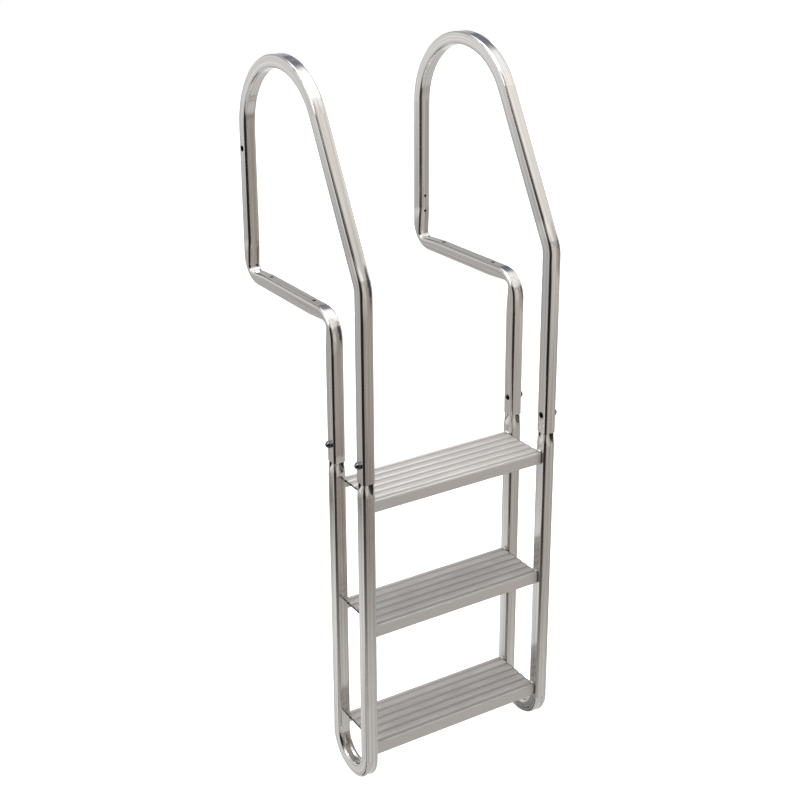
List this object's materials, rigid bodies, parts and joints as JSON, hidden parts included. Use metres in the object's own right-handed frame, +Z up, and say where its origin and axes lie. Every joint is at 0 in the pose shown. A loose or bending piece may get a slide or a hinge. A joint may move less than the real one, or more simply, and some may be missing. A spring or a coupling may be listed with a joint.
{
  "type": "dock ladder",
  "caption": "Fixed dock ladder with bent square-tube handrails, swaged U-shaped leg loops, ribbed channel treads and bolted slip joints.",
  "frame": {"origin": "centre of the underside of the left handrail's deck base, midway between its two screw holes, on the dock's deck", "axes": "+X to the right for a climber in the water facing the dock, +Y from the water towards the dock, +Z up"},
  "size_m": [0.528, 0.5135, 1.6248],
  "materials": {
    "rail_tube": "satin brushed",
    "leg_tube": "satin brushed",
    "tread_extrusion": "mill finish",
    "weld_bead": "as welded",
    "bolt_steel": "plain stainless",
    "cap_nut_chrome": "polished"
  },
  "bodies": {
    "root": {"left_handrail": "rail_tube", "left_leg_loop": "leg_tube", "left_front_joint_bolt": "bolt_steel", "left_front_cap_nut": "cap_nut_chrome", "left_rear_joint_bolt": "bolt_steel", "left_rear_cap_nut": "cap_nut_chrome", "right_handrail": "rail_tube", "right_leg_loop": "leg_tube", "right_front_joint_bolt": "bolt_steel", "right_front_cap_nut": "cap_nut_chrome", "right_rear_joint_bolt": "bolt_steel", "right_rear_cap_nut": "cap_nut_chrome", "upper_tread": "tread_extrusion", "upper_left_front_weld": "weld_bead", "upper_left_rear_weld": "weld_bead", "upper_right_front_weld": "weld_bead", "upper_right_rear_weld": "weld_bead", "middle_tread": "tread_extrusion", "middle_left_front_weld": "weld_bead", "middle_left_rear_weld": "weld_bead", "middle_right_front_weld": "weld_bead", "middle_right_rear_weld": "weld_bead", "lower_tread": "tread_extrusion", "lower_left_front_weld": "weld_bead", "lower_left_rear_weld": "weld_bead", "lower_right_front_weld": "weld_bead", "lower_right_rear_weld": "weld_bead"}
  },
  "joints": []
}
